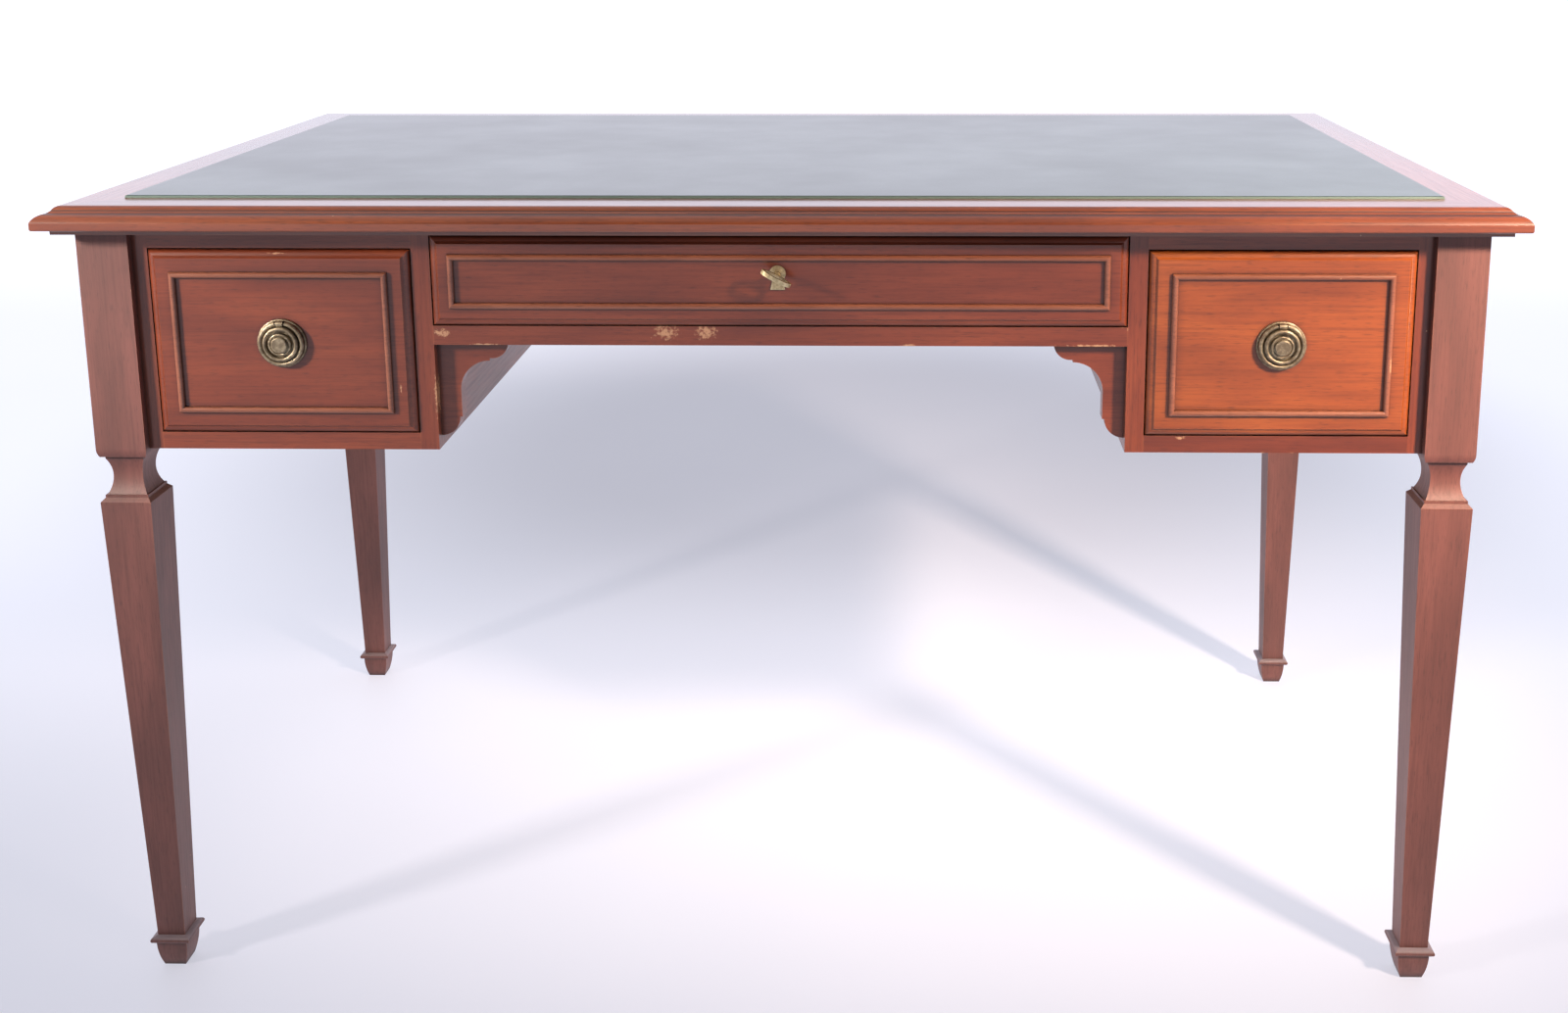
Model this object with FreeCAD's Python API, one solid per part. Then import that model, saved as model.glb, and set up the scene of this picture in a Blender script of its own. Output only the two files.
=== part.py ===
import FreeCAD, Part
import math
import os

# Writing desk in mahogany: a moulded top with a leather panel, tapered legs with a scotia neck and
# spade feet, and a carcase with one centre drawer and two side drawers.
# Millimetres. +Z is up, the front faces -Y and the origin is on the floor below the middle of the top.

# Top
TOP_LENGTH = 1330.0
TOP_DEPTH = 740.0
TOP_HEIGHT = 775.0
OVERHANG = 27.0
RAIL_FLAT = 40.0
LEDGE = 12.0
PANEL_LAP = 10.0
LEATHER_THICK = 2.5
LEATHER_ROUND = 1.5

# Moulded edge of the top, from the surface down
SMALL_OVOLO_OUT = 6.0
SMALL_OVOLO_DROP = 3.7
SLOPE_OUT = 3.3
SLOPE_DROP = 2.3
LARGE_OVOLO_OUT = 10.7
LARGE_OVOLO_DROP = 7.1
LIP_HEIGHT = 7.4
LIP_ROUND = 2.0
UNDERSTEP_IN = 12.0
UNDERSTEP_HEIGHT = 5.0

# Legs
POST = 47.0
POST_LENGTH = 214.6
POST_EASE_DROP = 8.0
POST_EASE_IN = 2.0
NECK_STEP = 3.5
NECK_FILLET = 2.6
NECK_TOP_HALF = 18.0
NECK_WAIST_HALF = 13.8
NECK_FOOT_HALF = 18.6
NECK_HOLLOW = 35.0
SHAFT_CHAMFER = 3.6
SHAFT_TOP = 47.5
SHAFT_BOTTOM = 27.0
TENON_WIDE = 14.0
TENON_LONG = 16.0

# Feet
FOOT_HEIGHT = 34.5
COLLAR_HALF = 19.2
COLLAR_SLOPE = 1.2
COLLAR_EDGE = 5.8
COLLAR_ROUND = 2.0
SPADE_TOP_HALF = 15.0
SPADE_BOTTOM_HALF = 10.5

# Carcase
APRON_HEIGHT = 207.8
APRON_THICK = 18.0
APRON_SETBACK = 8.0
FRAME_SETBACK = 8.0
FRAME_THICK = 20.0
OUTER_STILE = 14.0
INNER_STILE = 17.0
TOP_RAIL = 16.5
BOTTOM_RAIL = 16.2
CENTRE_RAIL = 18.0
CENTRE_OPENING = 89.0
KNEE_WIDTH = 636.0
PARTITION_THICK = 15.0
APRON_TENON_THICK = 8.0
APRON_TENON_LONG = 20.0
APRON_TENON_SHOULDER = 22.0
STUB_TENON_THICK = 8.0
STUB_TENON_LONG = 8.0
STUB_TENON_SHOULDER = 2.5

# Corner brackets of the knee-hole
BRACKET_WIDE = 66.0
BRACKET_HIGH = 90.0
BRACKET_THICK = 16.0
BRACKET_SETBACK = 10.0
BRACKET_TIP_LOBE = 15.5
BRACKET_FOOT_LOBE = 18.0
BRACKET_STEP = 2.2

# Drawer slides
RUNNER_REACH = 16.0
GUIDE_HEIGHT = 20.0
KICKER_WIDE = 20.0
SIDE_PLAY = 1.0
RUN_GAP = 0.3
KICK_GAP = 3.0

# Drawers
DRAWER_BACK_ROOM = 78.0
DRAWER_GAP = 1.0
CENTRE_TOP_GAP = 4.0
FRONT_THICK = 20.0
FRONT_PROUD = 6.0
EDGE_OVOLO = 5.5
EDGE_BEVEL = 2.0
SIDE_THICK = 12.0
BACK_THICK = 12.0
BOTTOM_THICK = 5.0
BOTTOM_LIFT = 10.0
GROOVE = 6.0
TAIL_LONG = 12.0
TAIL_PITCH = 40.0
TAIL_WIDE = 24.0
TAIL_SLOPE = 1.0 / 6.0
BEAD_WIDE = 5.5
BEAD_HIGH = 4.0
BEAD_BASE = 1.4
SIDE_BEAD_MARGIN = 20.0
CENTRE_BEAD_MARGIN = 16.7

# Ring pulls
PLATE_RADIUS = 22.8
PLATE_THICK = 1.4
PLATE_RIM = 0.9
PLATE_RIM_WIDE = 2.4
RING_RADIUS = 19.25
RING_WIRE = 2.05
RING_STANDOFF = 4.0
RING_GAP_ANGLE = 14.0
RING_PIN = 1.2
RING_PIN_GAP = 1.2
PIN_PLAY = 0.05
LUG_HALF = 3.1
LUG_RADIUS = 2.7
ROSE_RADIUS = 16.4
ROSE_BEAD_TOP = 8.0
ROSE_BEAD_WIDE = 3.8
ROSE_FLOOR = 4.2
CUP_RADIUS = 10.6
CUP_TOP = 8.6
CUP_WALL = 2.4
BOSS_RADIUS = 7.4
BOSS_TOP = 10.6
BOSS_BEVEL = 0.8
PULL_BOLT = 2.0
PULL_BOLT_SEAT = 3.0
PULL_BOLT_PLAY = 0.3
PULL_NUT_ACROSS = 8.0
PULL_NUT_THICK = 3.2

# Lock, escutcheon and key of the centre drawer
KEY_BELOW_EDGE = 33.9
KEY_TURN = 62.0
FULL_TURN = 180.0
KEY_SHANK = 2.4
KEY_PLAY = 0.05
KEY_STANDOUT = 12.5
KEY_BIT_REACH = 7.5
KEY_BIT_THICK = 2.0
KEY_COLLAR = 4.0
KEY_COLLAR_LONG = 3.0
BOW_HALF = 14.8
BOW_LONG = 16.0
BOW_THICK = 3.6
BOW_WALL = 3.6
ESCUTCHEON_THICK = 1.6
ESCUTCHEON_RADIUS = 7.4
ESCUTCHEON_WAIST = 4.6
ESCUTCHEON_FOOT_HALF = 6.6
ESCUTCHEON_FOOT_DROP = 14.8
KEYHOLE_SLOT_HALF = 1.5
KEYHOLE_PLAY = 0.3
LOCK_WIDE = 52.0
LOCK_BELOW_KEY = 22.0
LOCK_DEEP = 12.0
LOCK_WALL = 1.5
BIT_ROOM = 4.6
BIT_ROOM_PLAY = 1.2
BOLT_WIDE = 16.0
BOLT_THICK = 3.6
BOLT_LONG = 36.0
BOLT_PLAY = 0.3
BOLT_THROW = 8.0
BOLT_SUNK = 1.0
BOLT_POCKET = 6.0

# Corner blocks and the screws that hold the top
BLOCK_LONG = 50.0
BLOCK_SIDE = 18.0
SIDE_BLOCK_Y = 150.0
SCREW_RADIUS = 2.0
SCREW_PLAY = 0.1
SCREW_BITE = 12.0
SCREW_HEAD = 4.0
SCREW_HEAD_THICK = 2.6

# How far a cutter runs past the face that it opens
OVERCUT = 1.0

# Levels worked out from the sizes above
EDGE_OUT = SMALL_OVOLO_OUT + SLOPE_OUT + LARGE_OVOLO_OUT
TOP_THICK = SMALL_OVOLO_DROP + SLOPE_DROP + LARGE_OVOLO_DROP + LIP_HEIGHT + UNDERSTEP_HEIGHT
RAIL_WIDE = EDGE_OUT + RAIL_FLAT
UNDER = TOP_HEIGHT - TOP_THICK
APRON_BOTTOM = UNDER - APRON_HEIGHT
POST_OUT = TOP_LENGTH / 2 - OVERHANG
POST_IN = POST_OUT - POST
POST_FRONT = OVERHANG - TOP_DEPTH / 2
FACE = POST_FRONT + FRAME_SETBACK
FRAME_BACK = FACE + FRAME_THICK
APRON_IN = POST_OUT - APRON_SETBACK - APRON_THICK
BACK_OUT = -POST_FRONT - APRON_SETBACK
BACK_IN = BACK_OUT - APRON_THICK
KNEE_HALF = KNEE_WIDTH / 2
OPEN_OUT = POST_IN - OUTER_STILE
OPEN_IN = KNEE_HALF + INNER_STILE
SIDE_SILL = APRON_BOTTOM + BOTTOM_RAIL
SIDE_HEAD = UNDER - TOP_RAIL
CENTRE_SILL = UNDER - CENTRE_OPENING
CENTRE_HEAD = UNDER - CENTRE_TOP_GAP + DRAWER_GAP
FRONT_FACE = FACE - FRONT_PROUD
FRONT_BACK = FRONT_FACE + FRONT_THICK
DRAWER_END = BACK_IN - DRAWER_BACK_ROOM
KEY_Z = UNDER - CENTRE_TOP_GAP - KEY_BELOW_EDGE
DIAGONAL = math.sqrt(0.5)

V = FreeCAD.Vector
X_AXIS = V(1, 0, 0)
Y_AXIS = V(0, 1, 0)
Z_AXIS = V(0, 0, 1)
ORIGIN = V(0, 0, 0)


def box(x, y, z):
    """A block between pairs of limits along X, Y and Z."""
    return Part.makeBox(x[1] - x[0], y[1] - y[0], z[1] - z[0], V(x[0], y[0], z[0]))


def rod(radius, start, end):
    """A round bar between two points."""
    run = end.sub(start)
    return Part.makeCylinder(radius, run.Length, start, run)


def outline(put, start, steps):
    """The face inside a closed outline. A step is a point, or (through, end) for an arc."""
    edges = []
    here = start
    for step in list(steps) + [start]:
        curved = isinstance(step[0], tuple)
        end = step[1] if curved else step
        if curved:
            edges.append(Part.Arc(put(*here), put(*step[0]), put(*end)).toShape())
        elif end != here:
            edges.append(Part.makeLine(put(*here), put(*end)))
        here = end
    return Part.Face(Part.Wire(edges))


def ovolo(low, high):
    """Arc from one point up to another, level where it ends."""
    out = high[0] - low[0]
    drop = high[1] - low[1]
    radius = (out ** 2 + drop ** 2) / (2 * drop)
    half = math.asin(out / radius) / 2
    return ((high[0] - radius * math.sin(half), high[1] - radius * (1 - math.cos(half))), high)


def rounded_in(high, low):
    """Arc from one point down and in to another, upright where it starts."""
    inward = high[0] - low[0]
    drop = high[1] - low[1]
    radius = (inward ** 2 + drop ** 2) / (2 * inward)
    half = math.asin(drop / radius) / 2
    return ((high[0] - radius * (1 - math.cos(half)), high[1] - radius * math.sin(half)), low)


def mirrored(shape):
    """The same piece on the other side of the desk."""
    return shape.mirror(ORIGIN, X_AXIS)


def flipped(point):
    return (-point[0], point[1])


def square_turning(start, steps):
    """A solid with one outline on all four sides, given as half widths and heights from the top down."""
    ends = [start] + [step[1] if isinstance(step[0], tuple) else step for step in steps]
    way_up = [flipped(ends[-1])]
    for step, end in zip(reversed(steps), reversed(ends[:-1])):
        curved = isinstance(step[0], tuple)
        way_up.append((flipped(step[0]), flipped(end)) if curved else flipped(end))
    reach = 2 * max(end[0] for end in ends)
    full = list(steps) + way_up
    front = outline(lambda w, z: V(w, -reach, z), start, full).extrude(V(0, 2 * reach, 0))
    side = outline(lambda w, z: V(-reach, w, z), start, full).extrude(V(2 * reach, 0, 0))
    return front.common(side)


def mitred_bars(length, depth, wide, high, start, steps):
    """Four bars of one section, mitred at the corners of a rectangle. The section is given as
    distances in from the outer edge and heights."""
    x, y = length / 2, depth / 2
    room = (-high, 2 * high)
    tall = V(0, 0, room[1] - room[0])

    def mitre(points):
        return outline(lambda u, v: V(u, v, room[0]), points[0], points[1:]).extrude(tall)

    front = outline(lambda s, z: V(-x, s - y, z), start, steps).extrude(V(length, 0, 0))
    front = front.common(mitre([(-x, -y), (x, -y), (x - wide, wide - y), (wide - x, wide - y)]))
    left = outline(lambda s, z: V(s - x, -y, z), start, steps).extrude(V(0, depth, 0))
    left = left.common(mitre([(-x, -y), (wide - x, wide - y), (wide - x, y - wide), (-x, y)]))
    return {"front": front, "back": front.mirror(ORIGIN, Y_AXIS), "left": left, "right": mirrored(left)}


def facing_front(shape, x, y, z):
    """Turn a piece made lying on its back so that it faces the front, and set it in place."""
    piece = shape.copy()
    piece.rotate(ORIGIN, X_AXIS, 90)
    piece.translate(V(x, y, z))
    return piece


def top_screw_places():
    """Where a screw comes up through each block into the top."""
    side_x = APRON_IN - BLOCK_SIDE / 2
    back_y = BACK_IN - BLOCK_SIDE / 2
    places = [(sx * side_x, sy * SIDE_BLOCK_Y) for sx in (-1, 1) for sy in (-1, 1)]
    drawer_x = (OPEN_OUT + OPEN_IN) / 2
    return places + [(x, back_y) for x in (-drawer_x, 0.0, drawer_x)]


def screw_holes():
    low = UNDER - BLOCK_SIDE - OVERCUT
    high = UNDER + SCREW_BITE
    return [rod(SCREW_RADIUS + SCREW_PLAY, V(x, y, low), V(x, y, high)) for x, y in top_screw_places()]


def bolt_span(rise):
    """Bottom and top of the lock bolt when it has risen this far."""
    top = UNDER - CENTRE_TOP_GAP - BOLT_SUNK + rise
    return (top - BOLT_LONG, top)


def lock_layers():
    """Limits along Y of the lock case, the room for the key bit and the room for the bolt."""
    case = (FRONT_BACK - LOCK_DEEP, FRONT_BACK)
    bit = (case[0] + LOCK_WALL, case[0] + LOCK_WALL + BIT_ROOM)
    bolt = (bit[1], case[1] - LOCK_WALL)
    return case, bit, bolt


def top_pieces():
    lip_top = UNDERSTEP_HEIGHT + LIP_HEIGHT
    slope_low = lip_top + LARGE_OVOLO_DROP
    slope_high = slope_low + SLOPE_DROP
    slope_end = LARGE_OVOLO_OUT + SLOPE_OUT
    eased = LIP_ROUND * (1.0 - DIAGONAL)
    steps = [
        (UNDERSTEP_IN, UNDERSTEP_HEIGHT),
        (LIP_ROUND, UNDERSTEP_HEIGHT),
        ((eased, UNDERSTEP_HEIGHT + eased), (0.0, UNDERSTEP_HEIGHT + LIP_ROUND)),
        (0.0, lip_top),
        ovolo((0.0, lip_top), (LARGE_OVOLO_OUT, slope_low)),
        (slope_end, slope_high),
        ovolo((slope_end, slope_high), (EDGE_OUT, TOP_THICK)),
        (RAIL_WIDE, TOP_THICK),
        (RAIL_WIDE, TOP_THICK - PANEL_LAP),
        (RAIL_WIDE + LEDGE, TOP_THICK - PANEL_LAP),
        (RAIL_WIDE + LEDGE, 0.0),
    ]
    bars = mitred_bars(TOP_LENGTH, TOP_DEPTH, RAIL_WIDE + LEDGE, TOP_THICK, (UNDERSTEP_IN, 0.0), steps)
    half_x = TOP_LENGTH / 2 - RAIL_WIDE
    half_y = TOP_DEPTH / 2 - RAIL_WIDE
    lap = (TOP_HEIGHT - PANEL_LAP, TOP_HEIGHT)
    core = (UNDER, TOP_HEIGHT - PANEL_LAP)
    panel = box((-half_x, half_x), (-half_y, half_y), lap)
    panel = panel.fuse(box((LEDGE - half_x, half_x - LEDGE), (LEDGE - half_y, half_y - LEDGE), core))
    leather = box((-half_x, half_x), (-half_y, half_y), (TOP_HEIGHT, TOP_HEIGHT + LEATHER_THICK))
    edges = [e for e in leather.Edges if e.BoundBox.ZMin > TOP_HEIGHT + LEATHER_THICK / 2]
    leather = leather.makeFillet(LEATHER_ROUND, edges)
    case, bit, bolt = lock_layers()
    pocket = box((-BOLT_WIDE / 2 - BOLT_PLAY, BOLT_WIDE / 2 + BOLT_PLAY), (bolt[0], bolt[1]),
                 (UNDER - OVERCUT, UNDER + BOLT_POCKET))
    pieces = {"top_panel": panel.removeSplitter()}
    for side, bar in bars.items():
        bar.translate(V(0, 0, UNDER))
        pieces["top_" + side + "_rail"] = bar
    for name in pieces:
        pieces[name] = pieces[name].cut([pocket] + screw_holes())
    pieces["leather_panel"] = leather
    return pieces


def leg():
    """One leg on its own axis: square post, hollow neck, tapered shaft and a tenon for the foot."""
    half = POST / 2
    post_end = UNDER - POST_LENGTH
    eased = half - POST_EASE_IN
    fillet_end = post_end - NECK_FILLET
    waist = fillet_end - NECK_HOLLOW / 2
    hollow_end = fillet_end - NECK_HOLLOW
    shoulder = hollow_end - NECK_FILLET
    shaft_half = SHAFT_TOP / 2
    shaft_top = shoulder - SHAFT_CHAMFER
    steps = [
        (half, post_end + POST_EASE_DROP),
        rounded_in((half, post_end + POST_EASE_DROP), (eased, post_end)),
        (eased - NECK_STEP, post_end),
        (eased - NECK_STEP, fillet_end),
        (NECK_TOP_HALF, fillet_end),
        ((NECK_WAIST_HALF, waist), (NECK_FOOT_HALF, hollow_end)),
        (shaft_half - SHAFT_CHAMFER, hollow_end),
        (shaft_half - SHAFT_CHAMFER, shoulder),
        (shaft_half, shaft_top),
        (SHAFT_BOTTOM / 2, FOOT_HEIGHT),
    ]
    tenon = box((-TENON_WIDE / 2, TENON_WIDE / 2), (-TENON_WIDE / 2, TENON_WIDE / 2),
                (FOOT_HEIGHT - TENON_LONG, FOOT_HEIGHT))
    return square_turning((half, UNDER), steps).fuse(tenon)


def foot():
    """One foot on the leg's axis: a collar with a rounded edge over a tapering spade."""
    lip_top = FOOT_HEIGHT - COLLAR_SLOPE
    lip_low = lip_top - COLLAR_EDGE
    lip_mid = (COLLAR_HALF, lip_top - COLLAR_EDGE / 2)
    edge_half = COLLAR_HALF - COLLAR_ROUND
    steps = [
        (edge_half, lip_top),
        (lip_mid, (edge_half, lip_low)),
        (SPADE_TOP_HALF, lip_low),
        rounded_in((SPADE_TOP_HALF, lip_low), (SPADE_BOTTOM_HALF, 0.0)),
    ]
    mortise = box((-TENON_WIDE / 2, TENON_WIDE / 2), (-TENON_WIDE / 2, TENON_WIDE / 2),
                  (FOOT_HEIGHT - TENON_LONG, FOOT_HEIGHT + OVERCUT))
    return square_turning((SHAFT_BOTTOM / 2, FOOT_HEIGHT), steps).cut(mortise)


def aprons():
    """Plain side and back aprons, with a tenon at each end."""
    deep = (APRON_BOTTOM, UNDER)
    tenon_z = (APRON_BOTTOM + APRON_TENON_SHOULDER, UNDER - APRON_TENON_SHOULDER)
    inset = (APRON_THICK - APRON_TENON_THICK) / 2
    run = -POST_FRONT - POST
    side = box((-APRON_IN - APRON_THICK, -APRON_IN), (-run, run), deep)
    side = side.fuse(box((-APRON_IN - APRON_THICK + inset, -APRON_IN - inset),
                         (-run - APRON_TENON_LONG, run + APRON_TENON_LONG), tenon_z))
    back = box((-POST_IN, POST_IN), (BACK_IN, BACK_OUT), deep)
    back = back.fuse(box((-POST_IN - APRON_TENON_LONG, POST_IN + APRON_TENON_LONG),
                         (BACK_IN + inset, BACK_OUT - inset), tenon_z))
    side = side.removeSplitter()
    return {"left_side_apron": side, "right_side_apron": mirrored(side), "back_apron": back.removeSplitter()}


def frame_rail(x, z):
    """A rail of the face frame with a stub tenon at each end."""
    inset = (FRAME_THICK - STUB_TENON_THICK) / 2
    bar = box(x, (FACE, FRAME_BACK), z)
    tenon = box((x[0] - STUB_TENON_LONG, x[1] + STUB_TENON_LONG), (FACE + inset, FRAME_BACK - inset),
                (z[0] + STUB_TENON_SHOULDER, z[1] - STUB_TENON_SHOULDER))
    return bar.fuse(tenon).removeSplitter()


def face_frame():
    opening = (-OPEN_OUT, -OPEN_IN)
    front = (FACE, FRAME_BACK)
    deep = (APRON_BOTTOM, UNDER)
    top = frame_rail(opening, (SIDE_HEAD, UNDER))
    bottom = frame_rail(opening, (APRON_BOTTOM, SIDE_SILL))
    centre = frame_rail((-KNEE_HALF, KNEE_HALF), (CENTRE_SILL - CENTRE_RAIL, CENTRE_SILL))
    outer = box((-POST_IN, -OPEN_OUT), front, deep).cut([top, bottom])
    inner = box((-OPEN_IN, -KNEE_HALF), front, deep).cut([top, bottom, centre])
    pieces = {"centre_rail": centre}
    for name, shape in (("outer_stile", outer), ("inner_stile", inner), ("top_rail", top),
                        ("bottom_rail", bottom), ("partition", partition()), ("bracket", bracket())):
        pieces["left_" + name] = shape
        pieces["right_" + name] = mirrored(shape)
    return pieces


def partition():
    """Inner side of the left pedestal, from the face frame to the back apron."""
    return box((-KNEE_HALF - PARTITION_THICK, -KNEE_HALF), (FRAME_BACK, BACK_IN), (APRON_BOTTOM, UNDER))


def bracket():
    """Shaped bracket in the left corner of the knee-hole: a lobe, a hollow and a second lobe."""
    head = CENTRE_SILL - CENTRE_RAIL
    y = FACE + BRACKET_SETBACK
    side = -KNEE_HALF
    tip = side + BRACKET_WIDE
    toe = head - BRACKET_HIGH
    lobe = BRACKET_TIP_LOBE
    round_tip = (tip - lobe * (1 - DIAGONAL), head - lobe * DIAGONAL)
    heel = side + BRACKET_FOOT_LOBE
    heel_top = toe + BRACKET_FOOT_LOBE
    round_heel = (side + BRACKET_FOOT_LOBE * DIAGONAL, toe + BRACKET_FOOT_LOBE * (1 - DIAGONAL))
    hollow_start = (tip - lobe - BRACKET_STEP, head - lobe - BRACKET_STEP)
    hollow = hollow_start[0] - heel - BRACKET_STEP
    hollow_end = (heel + BRACKET_STEP, hollow_start[1] - hollow)
    hollow_mid = (hollow_start[0] - hollow * DIAGONAL, hollow_start[1] - hollow * (1 - DIAGONAL))
    steps = [
        (tip, head),
        (round_tip, (tip - lobe, head - lobe)),
        (hollow_start[0], head - lobe),
        hollow_start,
        (hollow_mid, hollow_end),
        (hollow_end[0], heel_top),
        (heel, heel_top),
        (round_heel, (side, toe)),
    ]
    face = outline(lambda x, z: V(x, y, z), (side, head), steps)
    return face.extrude(V(0, BRACKET_THICK, 0))


def slides(legs):
    """Runners with guides under the drawers, and kickers over the side drawers."""
    run = (FRAME_BACK, BACK_IN)
    low = (APRON_BOTTOM, SIDE_SILL)
    outer = box((-APRON_IN, -OPEN_OUT + RUNNER_REACH), run, low)
    outer = outer.fuse(box((-APRON_IN, -OPEN_OUT), run, (APRON_BOTTOM, SIDE_SILL + GUIDE_HEIGHT)))
    outer = outer.removeSplitter().cut(legs)
    inner = box((-OPEN_IN - RUNNER_REACH, -KNEE_HALF - PARTITION_THICK), run, low)
    centre = box((-KNEE_HALF, -KNEE_HALF + RUNNER_REACH), run, (CENTRE_SILL - CENTRE_RAIL, CENTRE_SILL))
    high = (SIDE_HEAD, UNDER)
    kicker_out = box((-OPEN_OUT, -OPEN_OUT + KICKER_WIDE), run, high)
    kicker_in = box((-OPEN_IN - KICKER_WIDE, -KNEE_HALF - PARTITION_THICK), run, high)
    runners = [outer, inner, centre]
    kickers = [kicker_out, kicker_in]
    return {
        "drawer_runners": Part.makeCompound(runners + [mirrored(r) for r in runners]),
        "drawer_kickers": Part.makeCompound(kickers + [mirrored(k) for k in kickers]),
    }


def corner_blocks():
    """Glue blocks under the top along the side and back aprons, and the screws through them."""
    half = BLOCK_LONG / 2
    z = (UNDER - BLOCK_SIDE, UNDER)
    blocks = []
    for x, y in top_screw_places():
        beside = abs(x) > APRON_IN - BLOCK_SIDE
        wide = BLOCK_SIDE / 2 if beside else half
        deep = half if beside else BLOCK_SIDE / 2
        blocks.append(box((x - wide, x + wide), (y - deep, y + deep), z).cut(screw_holes()))
    screws = []
    for x, y in top_screw_places():
        shank = rod(SCREW_RADIUS, V(x, y, z[0]), V(x, y, UNDER + SCREW_BITE))
        head = rod(SCREW_HEAD, V(x, y, z[0] - SCREW_HEAD_THICK), V(x, y, z[0]))
        screws.append(shank.fuse(head))
    return {"corner_blocks": Part.makeCompound(blocks), "top_screws": Part.makeCompound(screws)}


def moulded_front(x, z):
    """Drawer front with a bevel and an ovolo round all four edges."""
    start_depth = FRONT_FACE + EDGE_BEVEL + EDGE_OVOLO
    curve = EDGE_OVOLO * (1 - DIAGONAL)

    def section(low, high):
        corner = EDGE_OVOLO + EDGE_BEVEL
        return (low, FRONT_BACK), [
            (low, start_depth),
            ((low + curve, FRONT_FACE + EDGE_BEVEL + curve), (low + EDGE_OVOLO, FRONT_FACE + EDGE_BEVEL)),
            (low + corner, FRONT_FACE),
            (high - corner, FRONT_FACE),
            (high - EDGE_OVOLO, FRONT_FACE + EDGE_BEVEL),
            ((high - curve, FRONT_FACE + EDGE_BEVEL + curve), (high, start_depth)),
            (high, FRONT_BACK),
        ]

    across = outline(lambda u, y: V(u, y, z[0]), *section(*x)).extrude(V(0, 0, z[1] - z[0]))
    upright = outline(lambda u, y: V(x[0], y, u), *section(*z)).extrude(V(x[1] - x[0], 0, 0))
    return across.common(upright)


def dovetailed_side(x, z):
    """Drawer side with tails at its front end, which lap into the drawer front."""
    side = box(x, (FRONT_BACK, DRAWER_END), z)
    count = max(1, int((z[1] - z[0]) / TAIL_PITCH))
    pitch = (z[1] - z[0]) / count
    wide = TAIL_WIDE / 2
    root = wide - TAIL_LONG * TAIL_SLOPE
    tip = FRONT_BACK - TAIL_LONG
    for i in range(count):
        middle = z[0] + (i + 0.5) * pitch
        tail = outline(lambda y, w: V(x[0], y, middle + w), (FRONT_BACK, -root),
                       [(tip, -wide), (tip, wide), (FRONT_BACK, root)])
        side = side.fuse(tail.extrude(V(x[1] - x[0], 0, 0)))
    return side.removeSplitter()


def bead_frame(x, z, margin):
    """Half-round bead in four mitred strips on a drawer front."""
    length = x[1] - x[0] - 2 * margin
    height = z[1] - z[0] - 2 * margin
    steps = [
        (0.0, BEAD_BASE),
        ((BEAD_WIDE / 2, BEAD_HIGH), (BEAD_WIDE, BEAD_BASE)),
        (BEAD_WIDE, 0.0),
    ]
    bars = mitred_bars(length, height, BEAD_WIDE, BEAD_HIGH, (0.0, 0.0), steps)
    middle = ((x[0] + x[1]) / 2, (z[0] + z[1]) / 2)
    return Part.makeCompound([facing_front(bar, middle[0], FRONT_FACE, middle[1]) for bar in bars.values()])


def drawer(name, opening, sill, head, margin, fittings):
    """Front, bead, sides, back and bottom of one drawer. Fittings are cut from the front."""
    x = (opening[0] + DRAWER_GAP, opening[1] - DRAWER_GAP)
    z = (sill + DRAWER_GAP, head - DRAWER_GAP)
    out = (opening[0] + SIDE_PLAY, opening[1] - SIDE_PLAY)
    inside = (out[0] + SIDE_THICK, out[1] - SIDE_THICK)
    side_z = (sill + RUN_GAP, head - KICK_GAP)
    floor = side_z[0] + BOTTOM_LIFT
    groove = (floor, floor + BOTTOM_THICK)
    bottom = box((inside[0] - GROOVE, inside[1] + GROOVE), (FRONT_BACK - GROOVE, DRAWER_END), groove)
    back = box(inside, (DRAWER_END - BACK_THICK, DRAWER_END), (groove[1], side_z[1] - DRAWER_GAP))
    left = dovetailed_side((out[0], inside[0]), side_z)
    right = dovetailed_side((inside[1], out[1]), side_z)
    front = moulded_front(x, z).cut([left, right, bottom] + fittings)
    return {
        name + "_drawer_front": front,
        name + "_drawer_bead": bead_frame(x, z, margin),
        name + "_drawer_sides": Part.makeCompound([left.cut(bottom), right.cut(bottom)]),
        name + "_drawer_back": back,
        name + "_drawer_bottom": bottom,
    }


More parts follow.
